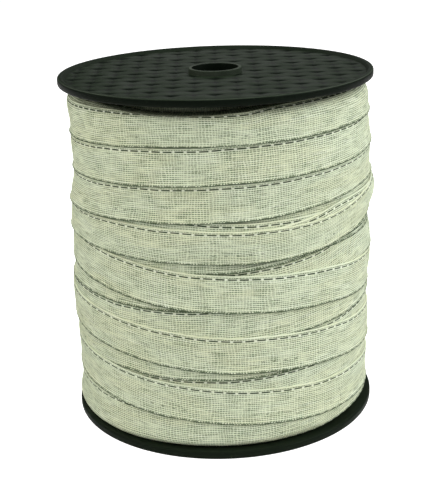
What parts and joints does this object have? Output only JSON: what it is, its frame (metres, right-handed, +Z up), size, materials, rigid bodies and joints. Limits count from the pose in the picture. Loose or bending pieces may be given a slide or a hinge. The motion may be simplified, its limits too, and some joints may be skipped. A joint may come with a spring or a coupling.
{
  "type": "spool of electric fence tape",
  "caption": "Flat woven electric fence tape wound in lapped turns on a round black plastic spool with a raised collar round its spindle bore.",
  "frame": {"origin": "centre of the lower flange's underside, on the floor", "axes": "+Z up along the spool's axis; the object is round, and -Y faces the picture's camera"},
  "size_m": [0.165, 0.165, 0.186],
  "materials": {
    "flange_plastic": "satin moulded black plastic with a basket-weave relief",
    "tube_plastic": "plain satin black plastic",
    "woven_tape": "matt open weave of white plastic threads with thin steel wires"
  },
  "bodies": {
    "root": {"lower_flange": "flange_plastic", "upper_flange": "flange_plastic", "core_tube": "tube_plastic", "tape_winding": "woven_tape"}
  },
  "joints": []
}
